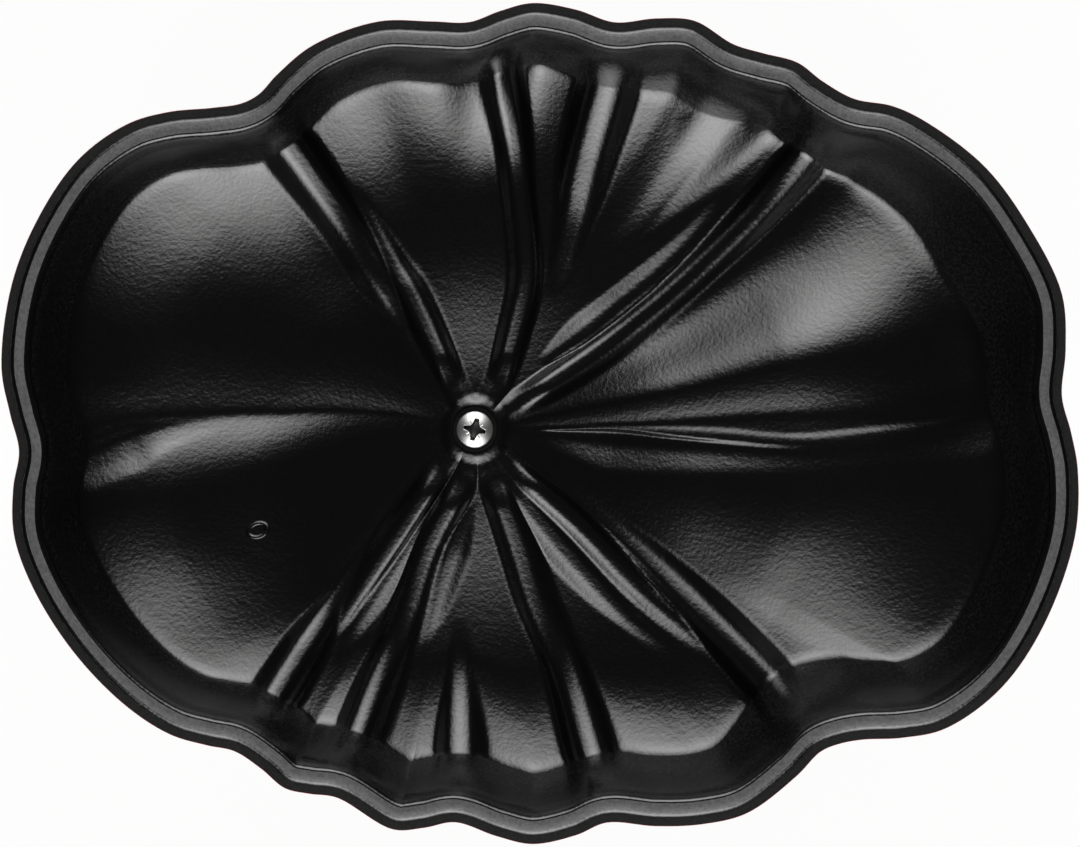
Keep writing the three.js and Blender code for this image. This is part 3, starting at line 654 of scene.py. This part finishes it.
# Shader trees
class Paint:
    """An output socket of a material's tree. Arithmetic adds Math nodes, and node() adds any other node."""

    def __init__(self, tree, socket=None):
        self.tree = tree
        self.socket = socket

    def node(self, kind, settings=None, sockets=None, output=0):
        made = self.tree.nodes.new(kind)
        for name, value in (settings or {}).items():
            setattr(made, name, value)
        for name, value in (sockets or {}).items():
            if isinstance(value, Paint):
                self.tree.links.new(value.socket, made.inputs[name])
            else:
                made.inputs[name].default_value = value
        return Paint(self.tree, made.outputs[output])

    def math(self, operation, one, two=0.0):
        return self.node("ShaderNodeMath", {"operation": operation}, {0: one, 1: two})

    def __add__(self, other):
        return self.math("ADD", self, other)

    def __radd__(self, other):
        return self.math("ADD", other, self)

    def __sub__(self, other):
        return self.math("SUBTRACT", self, other)

    def __rsub__(self, other):
        return self.math("SUBTRACT", other, self)

    def __mul__(self, other):
        return self.math("MULTIPLY", self, other)

    def __rmul__(self, other):
        return self.math("MULTIPLY", other, self)

    def ramp(self, low, high):
        """0 below low, 1 above high, smooth between."""
        settings = {"interpolation_type": "SMOOTHSTEP"}
        return self.node("ShaderNodeMapRange", settings, {"Value": self, "From Min": low, "From Max": high})

    def blend(self, start, end):
        """A colour between two, by this value."""
        settings = {"data_type": "RGBA"}
        return self.node("ShaderNodeMix", settings, {"Factor": self, 6: start, 7: end}, 2)

    def noise(self, place, scale, detail=2.0, roughness=0.5):
        sockets = {"Vector": place, "Scale": scale, "Detail": detail, "Roughness": roughness}
        return self.node("ShaderNodeTexNoise", None, sockets)

    def mark(self, name):
        return self.node("ShaderNodeAttribute", {"attribute_name": name}, None, "Fac")

    def place(self):
        return self.node("ShaderNodeTexCoord", None, None, "Object")

    def bump(self, height, distance, strength=1.0):
        sockets = {"Height": height, "Distance": distance, "Strength": strength}
        return self.node("ShaderNodeBump", None, sockets)

    def surface(self, **sockets):
        named = {name.replace("_", " "): value for name, value in sockets.items()}
        return self.node("ShaderNodeBsdfPrincipled", None, named)

    def mixed(self, share, start, end):
        return self.node("ShaderNodeMixShader", None, {0: share, 1: start, 2: end})


def new_material(name):
    material = bpy.data.materials.new(name)
    material.use_nodes = True
    material.node_tree.nodes.clear()
    return material, Paint(material.node_tree)


def finish_material(paint, shader):
    target = paint.tree.nodes.new("ShaderNodeOutputMaterial")
    paint.tree.links.new(shader.socket, target.inputs["Surface"])


def grey(level):
    return (level, level, level, 1)


def black_enamel(paint, place):
    grain = paint.noise(place, scale=1100, detail=3)
    peel = paint.noise(place, scale=420)
    cloud = paint.noise(place, scale=35)
    height = grain + peel * 0.5
    return paint.surface(
        Base_Color=cloud.blend(grey(0.001), grey(0.002)),
        Roughness=0.16 + 0.06 * grain,
        IOR=1.72,
        Normal=paint.bump(height, distance=0.075 * MM, strength=0.8),
    )


def rim_iron(paint, place):
    grain = paint.noise(place, scale=1500, detail=4, roughness=0.7)
    cloud = paint.noise(place, scale=60)
    return paint.surface(
        Base_Color=(0.6 * grain.ramp(0.3, 0.7) + 0.4 * cloud).blend(grey(0.03), grey(0.13)),
        Roughness=0.36 + 0.12 * grain,
        IOR=1.6,
        Normal=paint.bump(grain, distance=0.05 * MM, strength=0.7),
    )


def matt_edge(paint, place):
    speck = paint.noise(place, scale=1300, detail=4, roughness=0.7)
    return paint.surface(
        Base_Color=speck.ramp(0.35, 0.7).blend(grey(0.001), grey(0.014)),
        Roughness=0.6 + 0.2 * speck,
        IOR=1.2,
        Normal=paint.bump(speck, distance=0.05 * MM, strength=0.6),
    )


def red_enamel(paint, place):
    flow = paint.noise(place, scale=22)
    peel = paint.noise(place, scale=300)
    return paint.surface(
        Base_Color=flow.blend((0.30, 0.006, 0.006, 1), (0.46, 0.014, 0.01, 1)),
        Roughness=0.1 + 0.06 * peel,
        IOR=1.55,
        Normal=paint.bump(peel, distance=0.05 * MM, strength=0.5),
    )


def enamelled_iron():
    """Black enamel inside, bare rim and red enamel outside, by the casting's own marks."""
    material, paint = new_material("enamelled_iron")
    place = paint.place()
    ragged = paint.noise(place, scale=700, detail=4, roughness=0.7) - 0.5
    inner = paint.mixed(
        (paint.mark("bare") + ragged * 0.3).ramp(0.35, 0.65),
        black_enamel(paint, place),
        rim_iron(paint, place),
    )
    inner = paint.mixed(paint.mark("dull") * DULLNESS, inner, matt_edge(paint, place))
    edge = (paint.mark("matt") + ragged * 0.5).ramp(0.3, 0.7)
    inner = paint.mixed(edge, inner, matt_edge(paint, place))
    outside = (paint.mark("outside") + ragged * 0.5).ramp(0.4, 0.6)
    finish_material(paint, paint.mixed(outside, inner, red_enamel(paint, place)))
    return material


def steel(name, colour, roughness, grain_scale):
    material, paint = new_material(name)
    place = paint.place()
    grain = paint.noise(place, scale=grain_scale, detail=3)
    cloud = paint.noise(place, scale=180)
    dark = tuple(0.8 * level for level in colour) + (1,)
    # Painted shade: the base colour is darkened towards grey 0.07 in the screw head's cross recess, in place
    # of the shade that falls inside it
    recess_shade = paint.mark("recess").ramp(0.1, 0.8)
    shader = paint.surface(
        Base_Color=recess_shade.blend(cloud.blend(dark, colour + (1,)), grey(0.07)),
        Metallic=1.0,
        Roughness=roughness + 0.12 * grain,
        Normal=paint.bump(grain, distance=0.02 * MM, strength=0.5),
    )
    finish_material(paint, shader)
    return material


def seal_rubber():
    material, paint = new_material("seal_rubber")
    place = paint.place()
    grain = paint.noise(place, scale=2500, detail=3)
    shader = paint.surface(
        Base_Color=grain.blend(grey(0.001), grey(0.004)),
        Roughness=0.6 + 0.2 * grain,
        IOR=1.2,
        Normal=paint.bump(grain, distance=0.03 * MM, strength=0.5),
    )
    finish_material(paint, shader)
    return material


# Lid
def boss_rings(outer_ring, start_radius, shares):
    """Places between a circle round the boss (share 0) and an outer ring (share 1)."""
    outward = outer_ring[:, :2] - BOSS
    reach = np.linalg.norm(outward, axis=1)[None, :]
    radius = lerp(start_radius, reach, shares[:, None])
    return BOSS + (outward / reach[0][:, None])[None] * radius[..., None]


def lid_floor(wall_foot):
    near = np.linspace(0, NEAR_SHARE, NEAR_RINGS, endpoint=False)
    shares = np.concatenate([near, np.linspace(NEAR_SHARE, 1, FAR_RINGS)])
    places = boss_rings(wall_foot, BOSS_RADIUS + BOSS_EDGE, shares)
    depth = floor_depth(places, shares, BOSS_FOOT_RADIUS, BOSS_DEPTH + BOSS_RISE)
    depth -= BOSS_RISE * smoothstep(np.linalg.norm(places - BOSS, axis=-1), BOSS_FOOT_RADIUS, BOSS_RADIUS)
    fillet = FILLET_RISE * np.clip((shares - FILLET_START) / (1 - FILLET_START), 0, 1) ** 2
    rise = np.maximum(ridge_rise(places, shares), fillet[:, None])
    return with_height(places, RIM_PLANE + rise - depth)


def lid_wall(outline, wall_foot_ring):
    """Rings up the inner wall from its foot, where the ridges run out, to the rim's lip."""
    lip = []
    for inset, depth, softened in LIP_PROFILE:
        lip.append(outline.lobed(inset * MM, RIM_PLANE - depth * MM, softened))
    rings = []
    for share in np.linspace(0, 1, WALL_RINGS + 2)[1:-1]:
        ring = lerp(wall_foot_ring, lip[0], share)
        ring[:, 2] = lerp(wall_foot_ring[:, 2], lip[0][:, 2], lerp(share, share**3, WALL_HOLLOW))
        rings.append(ring)
    return rings + lip


def lid_rim(outline):
    """Rings over the rim, from its crest out to the outline."""
    return [outline.lobed(inset * MM, RIM_PLANE - depth * MM) for inset, depth in RIM_PROFILE]


def lid_outside(outline):
    """Rings under the flange, down the nest and in over the dome to the knob's seat."""
    profile = [
        *np.multiply(EDGE_PROFILE, MM),
        (FLANGE_ROUND, FLANGE_THICK),
        *np.multiply(SLOPE_PROFILE, MM),
        (POT_RIM, NEST_DEPTH),
        (POT_RIM + NEST_GAP, NEST_DEPTH + RIM_ROUND),
        np.multiply(DOME_START, MM),
    ]
    rings = [outline.rounded(inset, RIM_PLANE - depth) for inset, depth in profile]
    dome_edge = outline.rounded(DOME_EDGE_INSET, RIM_PLANE)
    shares = np.linspace(1, 0, DOME_RINGS)
    places = boss_rings(dome_edge, SEAT_RADIUS, shares)
    depth = floor_depth(places, shares, SEAT_RADIUS, SEAT_DEPTH - LID_WALL) + LID_WALL
    crease = CREASE_SHARE * ridge_rise(places, shares, CREASE_WIDENING)
    crease = crease * smoothstep(shares, 0, CREASE_FADE[0])[:, None]
    crease = crease * smoothstep(shares, 1, CREASE_FADE[1])[:, None]
    return rings + list(with_height(places, RIM_PLANE + crease - depth))


def lid_casting(material):
    outline = Outline(STATIONS)
    from_boss = outline.place - BOSS
    turn = np.arctan2(from_boss[:, 1], from_boss[:, 0])
    insets = around(turn, *np.array(FOOT_INSETS).T) * MM
    wall_foot = outline.lobed(insets[:, None], RIM_PLANE, WALL_SOFT)

    def circle(radius, depth):
        return with_height(boss_rings(wall_foot, radius, np.zeros(1))[0], RIM_PLANE - depth)

    boss = [circle(HOLE_RADIUS, BOSS_DEPTH), circle(BOSS_RADIUS, BOSS_DEPTH)]
    floor = list(lid_floor(wall_foot))
    wall = lid_wall(outline, floor[-1])
    outside = lid_outside(outline)
    outside += [circle(SEAT_RADIUS - SEAT_EDGE, SEAT_DEPTH), circle(HOLE_RADIUS, SEAT_DEPTH)]
    inside = boss + floor + wall
    rings = inside + lid_rim(outline) + outside

    def across_rim(band, outside_value):
        """A mark that is 0 inside the lid, follows a band across its rim and has one value outside."""
        values = np.interp([inset for inset, _ in RIM_PROFILE], *band)
        return np.concatenate([np.zeros(len(inside)), values, np.full(len(outside), outside_value)])

    dull = np.zeros(len(rings))
    dull[len(boss) + len(floor):len(inside) - GLOSSY_RINGS] = 1
    marks = {
        "bare": across_rim(BARE_BAND, 0),
        "dull": dull,
        "matt": across_rim(MATT_BAND, 0),
        "outside": across_rim(RED_BAND, 1),
    }
    mesh = ring_mesh("lid_casting", rings, True, marks)
    show("lid_casting", mesh, material, "lid", "black_enamel", "lid")


def lid_pip(material):
    """The low oval ring that a casting pip left on the floor of the lid, half sunk in the floor."""
    angle = full_turn(PIP_STEPS)
    circle = np.stack([np.cos(angle), np.sin(angle)], -1)
    cosine = math.cos(PIP_TURN)
    sine = math.sin(PIP_TURN)
    lean = np.array([[cosine, sine], [-sine, cosine]])
    before_rise = np.zeros(PIP_STEPS)  # the floor has not begun to rise to the wall there
    half_width, rise = PIP_RIDGE
    rings = []
    for side in full_turn(PIP_SECTION):
        radii = np.array(PIP_RADII) + half_width * math.sin(side)
        places = BOSS + PIP_FROM_BOSS + (circle * radii) @ lean
        depth = floor_depth(places[:, None], before_rise, BOSS_FOOT_RADIUS, BOSS_DEPTH + BOSS_RISE)
        rings.append(with_height(places, RIM_PLANE - depth[:, 0] + rise * math.cos(side)))
    mesh = ring_mesh("lid_pip", rings, True)
    show("lid_pip", mesh, material, "lid", "black_enamel", "lid")


# Pot
def pot_lean(z):
    return WALL_LEAN * ((POT_HEIGHT - z) / POT_HEIGHT) ** LEAN_CURVE


def pot_lobes(z):
    return 1 - LOBES_LOST * (POT_HEIGHT - z) / POT_HEIGHT


def pot_wall(thickness, bottom):
    """Pairs of inset and height of one face of the wall, from under the rim to the flat bottom."""
    top = POT_HEIGHT - RIM_ROUND
    round_top = bottom + BASE_ROUND
    heights = np.linspace(top, round_top, POT_WALL_RINGS, endpoint=False)
    profile = [(pot_lean(z) + thickness(z), z) for z in heights]
    start = np.array([pot_lean(round_top) + thickness(round_top), round_top])
    step = 0.5 * MM
    slope = (pot_lean(round_top - step) - pot_lean(round_top + step)) / (2 * step)
    corner = np.array([start[0] + slope * BASE_ROUND, bottom])
    end = np.array([corner[0] + BASE_ROUND, bottom])
    for share in np.linspace(0, 1, BASE_RINGS):
        inset, z = lerp(lerp(start, corner, share), lerp(corner, end, share), share)
        profile.append((inset, z))
    return profile


def pot_casting(material):
    outline = Outline(POT_STATIONS)
    extra = POT_RIM - POT_WALL

    def thickness(z):
        return POT_WALL + extra * max(0, 1 - (POT_HEIGHT - z) / RIM_BLEND)

    inside = pot_wall(thickness, POT_FLOOR)
    inside_end = inside[-1][0]
    outside = pot_wall(lambda z: 0, 0)
    outside_end = outside[-1][0]
    profile = [(lerp(WIDTH / 2, inside_end, share), POT_FLOOR) for share in POT_FLOOR_SHARES]
    profile += inside[::-1]
    rim_start = len(profile)
    rim_round = np.radians(np.linspace(0, 90, RIM_RINGS))
    in_from_side = RIM_ROUND * (1 - np.cos(rim_round))
    z = POT_HEIGHT - RIM_ROUND * (1 - np.sin(rim_round))
    profile += list(zip(POT_RIM - in_from_side, z))[1:]
    profile += list(zip(in_from_side, z))[:0:-1]
    rim_end = len(profile)
    profile += outside
    foot = outside_end + FOOT_INSET
    profile += [(foot, 0), (foot + FOOT_EDGE, FOOT_HOLLOW)]
    profile += [(lerp(foot, WIDTH / 2, share), FOOT_HOLLOW) for share in POT_FOOT_SHARES]
    rings = [outline.rounded(inset, z, pot_lobes(z)) for inset, z in profile]
    bare = np.zeros(len(profile))
    bare[rim_start:rim_end] = 1
    red = np.zeros(len(profile))
    red[rim_end - RED_RIM_RINGS:] = 1
    mesh = ring_mesh("pot_casting", rings, False, {"bare": bare, "outside": red})
    show("pot_casting", mesh, material, "pot", "red_enamel", "pot")


def squared_off(values, power):
    """Values between -1 and 1, pushed towards these ends by a power under 1."""
    return np.sign(values) * np.abs(values) ** power


def lug_handle(side, material):
    """One lug: a bar that leaves the wall, runs round the finger slot and goes back into the wall."""
    angle = np.linspace(-1, 1, LUG_STEPS) * math.pi / 2
    across = squared_off(np.sin(angle), LUG_ACROSS)
    out = np.abs(np.cos(angle)) ** LUG_OUT
    outer = np.stack([lerp(LUG_ROOT, LUG_TIP, out), LUG_HALF_WIDTH * across], 1)
    inner = np.stack([lerp(LUG_ROOT, LUG_TIP - LUG_BAR, out), LUG_SLOT_HALF * across], 1)
    round_bar = full_turn(LUG_SECTION)
    inward = (1 - squared_off(np.cos(round_bar), LUG_CORNER)) / 2
    z = POT_HEIGHT - LUG_DROP + LUG_HALF_THICK * squared_off(np.sin(round_bar), LUG_CORNER)
    rings = []
    for outer_place, inner_place in zip(outer, inner):
        plan = lerp(outer_place[None, :], inner_place[None, :], inward[:, None])
        rings.append(with_height(side * plan, z))
    name = "right_lug" if side > 0 else "left_lug"
    mesh = ring_mesh(name, rings, False, {"outside": np.ones(LUG_STEPS)})
    show(name, mesh, material, "pot", "red_enamel", "pot")


# Knob, screw and washer
def knob(material):
    height = knob_high.z - knob_low.z
    angle = full_turn(KNOB_STEPS)
    tap_end = knob_high.z - TAP_DEPTH
    rings = [axis_ring(angle, TAP_RADIUS, tap_end), axis_ring(angle, TAP_RADIUS, knob_high.z)]
    for radius, drop, ribs in open_curve(np.array(KNOB_PROFILE), KNOB_RINGS):
        drop = min(drop, 1)
        ribbed = radius * MM * (1 + ribs * np.cos(KNOB_RIBS * angle))
        rings.append(axis_ring(angle, ribbed, knob_high.z - drop * height, KNOB_BEND * drop**2))
    mesh = ring_mesh("knob_stalk", rings)
    show("knob_stalk", mesh, material, "lid", "knob_steel", "lid_knob")


def recess_ticks(turned, radius):
    """Depth of the thin ticks between the arms of the cross recess."""
    quarter = turned % (math.pi / 2) - math.pi / 4
    line = smoothstep(np.abs(np.sin(quarter)) * radius, *TICK_SIDE)
    begun = smoothstep(radius, *TICK_START)
    return TICK_DEPTH * line * begun * smoothstep(radius, *TICK_END)


def cross_recess(angle, radius):
    """Depth of the cross recess, with four arms that taper and a flat floor, and how far it is an arm."""
    turned = angle - RECESS_TURN
    quarter = (turned + math.pi / 4) % (math.pi / 2) - math.pi / 4
    off_arm = np.abs(np.sin(quarter)) * radius
    along = np.cos(quarter) * radius
    half = np.interp(along, ARM_ALONG, ARM_HALF_WIDTHS)
    arm = smoothstep(half - off_arm, *ARM_SIDE)
    arm = arm * smoothstep(along, *ARM_END)
    return RECESS_DEPTH * arm + recess_ticks(turned, radius), arm


def screw(material):
    angle = full_turn(SCREW_STEPS)
    top = screw_high.z
    rings = []
    recessed = []
    for radius in RECESSED_RADII:
        dome = HEAD_DOME - math.sqrt(HEAD_DOME**2 - radius**2)
        sunk, arm = cross_recess(angle, radius)
        rings.append(axis_ring(angle, radius, top - dome - sunk))
        recessed.append(arm)
    edge = top - HEAD_DOME + math.sqrt(HEAD_DOME**2 - HEAD_TOP**2)
    head_base = washer_high.z + HEAD_GAP
    plain = axis_rings(angle, (edge, HEAD_EDGE), (head_base, HEAD_UNDERSIDE), (screw_low.z, SHANK_END))
    recessed += [np.zeros(SCREW_STEPS)] * len(plain)
    # The recess mark tells the steel where to paint shade into the cross recess
    mesh = ring_mesh("screw_body", rings + plain, False, {"recess": recessed})
    show("screw_body", mesh, material, "lid", "screw_steel", "knob_screw")


def thread_tree(material):
    """Geometry nodes that sweep a wedge along a helix: the screw's thread, standing on its own end."""
    tree = bpy.data.node_groups.new("screw_thread", "GeometryNodeTree")
    tree.interface.new_socket("Geometry", in_out="OUTPUT", socket_type="NodeSocketGeometry")
    inputs = {}
    for name in ("Radius", "Turns", "Length", "Depth"):
        socket = tree.interface.new_socket(name, in_out="INPUT", socket_type="NodeSocketFloat")
        inputs[name] = socket.identifier
    given = tree.nodes.new("NodeGroupInput")
    spiral = tree.nodes.new("GeometryNodeCurveSpiral")
    wedge = tree.nodes.new("GeometryNodeCurvePrimitiveCircle")
    sweep = tree.nodes.new("GeometryNodeCurveToMesh")
    realize = tree.nodes.new("GeometryNodeRealizeInstances")
    paint = tree.nodes.new("GeometryNodeSetMaterial")
    result = tree.nodes.new("NodeGroupOutput")
    spiral.inputs["Resolution"].default_value = THREAD_STEPS
    wedge.inputs["Resolution"].default_value = WEDGE_CORNERS
    sweep.inputs["Fill Caps"].default_value = True
    paint.inputs["Material"].default_value = material
    for start, end in (
        (given.outputs["Radius"], spiral.inputs["Start Radius"]),
        (given.outputs["Radius"], spiral.inputs["End Radius"]),
        (given.outputs["Turns"], spiral.inputs["Rotations"]),
        (given.outputs["Length"], spiral.inputs["Height"]),
        (given.outputs["Depth"], wedge.inputs["Radius"]),
        (spiral.outputs["Curve"], sweep.inputs["Curve"]),
        (wedge.outputs["Curve"], sweep.inputs["Profile Curve"]),
        (sweep.outputs["Mesh"], realize.inputs["Geometry"]),
        (realize.outputs["Geometry"], paint.inputs["Geometry"]),
        (paint.outputs["Geometry"], result.inputs["Geometry"]),
    ):
        tree.links.new(start, end)
    return tree, inputs


def screw_thread(material):
    """The thread on the screw's shank, from its end up to the plain neck under the head."""
    values = {
        "Radius": THREAD_RADIUS,
        "Turns": THREAD_LENGTH / THREAD_PITCH,
        "Length": THREAD_LENGTH,
        "Depth": THREAD_DEPTH,
    }
    tree, inputs = thread_tree(material)
    holder = add_object("thread_maker", bpy.data.meshes.new("thread_maker"))
    sweep = holder.modifiers.new("thread", "NODES")
    sweep.node_group = tree
    for name, value in values.items():
        sweep[inputs[name]] = value
    ready = holder.evaluated_get(bpy.context.evaluated_depsgraph_get())
    mesh = bpy.data.meshes.new_from_object(ready)
    bpy.data.objects.remove(holder)
    mesh.transform(Matrix.Translation((BOSS[0], BOSS[1], screw_low.z + THREAD_START)))
    mesh.name = "screw_thread"
    show("screw_thread", mesh, material, "lid", "screw_steel", "knob_screw")


def washer(material):
    rings = axis_rings(full_turn(WASHER_STEPS), (washer_high.z, WASHER_TOP), (washer_low.z, WASHER_BASE))
    mesh = ring_mesh("seal_washer", rings, True)
    show("seal_washer", mesh, material, "lid", "washer_rubber", "screw_washer")


# Stage
def floor_material():
    """A pale floor that is white to the camera and in reflections, and keeps the object's shadow."""
    material, paint = new_material("pale_floor")
    shaded = paint.node("ShaderNodeBsdfDiffuse", None, {"Color": grey(FLOOR_GREY)})
    white = paint.node("ShaderNodeEmission", None, {"Color": grey(1), "Strength": 1.0})
    path = material.node_tree.nodes.new("ShaderNodeLightPath")
    rays = [Paint(material.node_tree, path.outputs[name]) for name in
            ("Is Camera Ray", "Is Glossy Ray", "Is Transmission Ray")]
    seen = paint.math("MINIMUM", rays[0] + rays[1] + rays[2], 1.0)
    finish_material(paint, paint.mixed(seen * FLOOR_WHITENESS, shaded, white))
    return material


def stage():
    bpy.ops.mesh.primitive_plane_add(size=FLOOR_SIZE)
    floor = bpy.context.object
    floor.name = "floor"
    floor.data.materials.append(floor_material())
    for name, (side, radiance) in LAMPS.items():
        lamp = bpy.data.lights.new(name, "AREA")
        lamp.shape = "RECTANGLE"
        lamp.size, lamp.size_y = LAMP_SIZE
        lamp.spread = LAMP_SPREAD
        lamp.energy = radiance * math.pi * LAMP_SIZE[0] * LAMP_SIZE[1]
        holder = add_object(name, lamp)
        away = Vector((0, side * math.sin(LAMP_TILT), math.cos(LAMP_TILT)))
        holder.location = Vector((0, 0, RIM_PLANE)) + LAMP_DISTANCE * away
        holder.rotation_euler = (-side * LAMP_TILT, 0, 0)
    world = bpy.data.worlds.new("studio")
    bpy.context.scene.world = world
    world.use_nodes = True
    background = world.node_tree.nodes["Background"]
    background.inputs["Color"].default_value = grey(1)
    background.inputs["Strength"].default_value = WORLD_LIGHT


def camera():
    data = bpy.data.cameras.new("camera")
    data.sensor_width = SENSOR_WIDTH
    data.lens = SENSOR_WIDTH * (CAMERA_HEIGHT + RIM_DROP) / VIEW_WIDTH
    holder = add_object("camera", data)
    holder.location = (0, 0, RIM_PLANE + CAMERA_HEIGHT)
    bpy.context.scene.camera = holder
    bpy.context.scene.view_settings.view_transform = "Standard"


def build():
    casting = enamelled_iron()
    knob_steel = steel("knob_steel", KNOB_COLOUR, roughness=0.28, grain_scale=1500)
    screw_steel = steel("screw_steel", SCREW_COLOUR, roughness=0.32, grain_scale=4000)
    camera()
    lid_casting(casting)
    lid_pip(casting)
    pot_casting(casting)
    lug_handle(1, casting)
    lug_handle(-1, casting)
    knob(knob_steel)
    screw(screw_steel)
    screw_thread(screw_steel)
    washer(seal_rubber())
    stage()


build()
